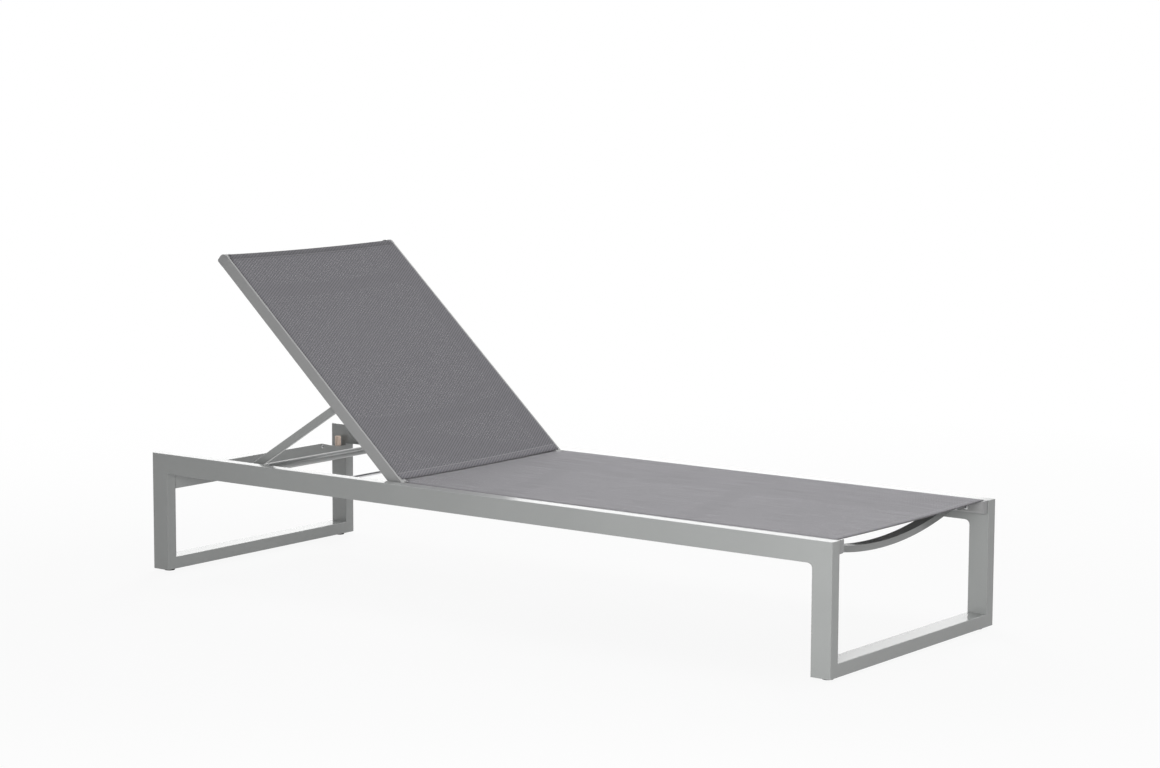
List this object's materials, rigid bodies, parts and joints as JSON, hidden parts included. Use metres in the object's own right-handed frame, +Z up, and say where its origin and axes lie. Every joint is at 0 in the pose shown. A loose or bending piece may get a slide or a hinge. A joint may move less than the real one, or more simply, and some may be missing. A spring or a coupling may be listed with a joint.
{
  "type": "sun lounger",
  "caption": "Low sun lounger: rectangular-tube sled frame, mesh sling seat, and a mesh sling back that reclines on a hinged prop and notched racks.",
  "frame": {"origin": "on the floor, under the middle of the frame, in plan at the middle of its box", "axes": "+X towards the foot end, +Y across the width, away from the side seen in the picture, +Z up"},
  "size_m": [2, 0.7, 0.8062],
  "materials": {
    "frame_coat": "satin silver-grey powder coat",
    "track_coat": "satin silver-grey powder coat",
    "sling_seat": "matte woven mesh, grey",
    "sling_back": "matte woven mesh, grey",
    "welt": "matte",
    "glide": "matte black",
    "cap": "matte dark grey",
    "cap_grey": "matte mid grey",
    "stop": "matte tan",
    "bush": "satin white nylon",
    "rack": "matte black nylon",
    "insert": "matte black nylon",
    "steel": "satin"
  },
  "bodies": {
    "frame": {"side_rail_near": "frame_coat", "side_rail_far": "frame_coat", "head_leg_near": "frame_coat", "head_leg_far": "frame_coat", "foot_leg_near": "frame_coat", "foot_leg_far": "frame_coat", "head_floor_bar": "frame_coat", "foot_floor_bar": "frame_coat", "head_crossbar": "frame_coat", "seat_arch_foot": "frame_coat", "seat_arch_middle": "frame_coat", "seat_arch_hinge": "frame_coat", "seat_arch_tabs": "frame_coat", "seat_track_near": "track_coat", "seat_track_far": "track_coat", "glides": "glide", "crossbar_inserts": "insert", "crossbar_screws": "steel", "seat_tab_screws": "steel", "track_screws": "steel", "hinge_bolts": "steel", "hinge_inserts": "steel", "rack_screws": "steel", "tie_rod": "steel", "head_stops": "stop", "seat_track_caps": "cap_grey", "hinge_washers": "cap", "track_rings": "bush", "seat_sling": "sling_seat", "seat_welts": "welt", "rack_near": "rack", "rack_far": "rack", "tie_rod_sockets": "frame_coat"},
    "backrest": {"back_track_near": "track_coat", "back_track_far": "track_coat", "back_hinge_ends": "track_coat", "back_arch_lower": "frame_coat", "back_arch_upper": "frame_coat", "back_arch_tabs": "frame_coat", "back_top_caps": "cap_grey", "back_tab_screws": "steel", "prop_bolts": "steel", "prop_inserts": "steel", "back_sling": "sling_back", "back_welts": "welt", "hinge_bushes": "bush", "prop_washers": "bush"},
    "prop": {"prop_arm_near": "frame_coat", "prop_arm_far": "frame_coat", "prop_foot_bar": "frame_coat", "prop_foot_caps": "cap", "prop_bushes": "bush"}
  },
  "joints": [
    {"name": "backrest_recline", "type": "hinge", "parent": "frame", "child": "backrest", "pos_m": [-0.2214, 0, 0.285], "axis": [0, 1, 0], "range_deg": [-42, 18]},
    {"name": "prop_swing", "type": "hinge", "parent": "backrest", "child": "prop", "pos_m": [-0.42138, 0, 0.46506], "axis": [0, 1, 0], "range_deg": [-29, 67.4]}
  ],
  "couplings": [
    {"joint": "prop_swing", "follows": "backrest_recline", "ratio": -1.583}
  ]
}
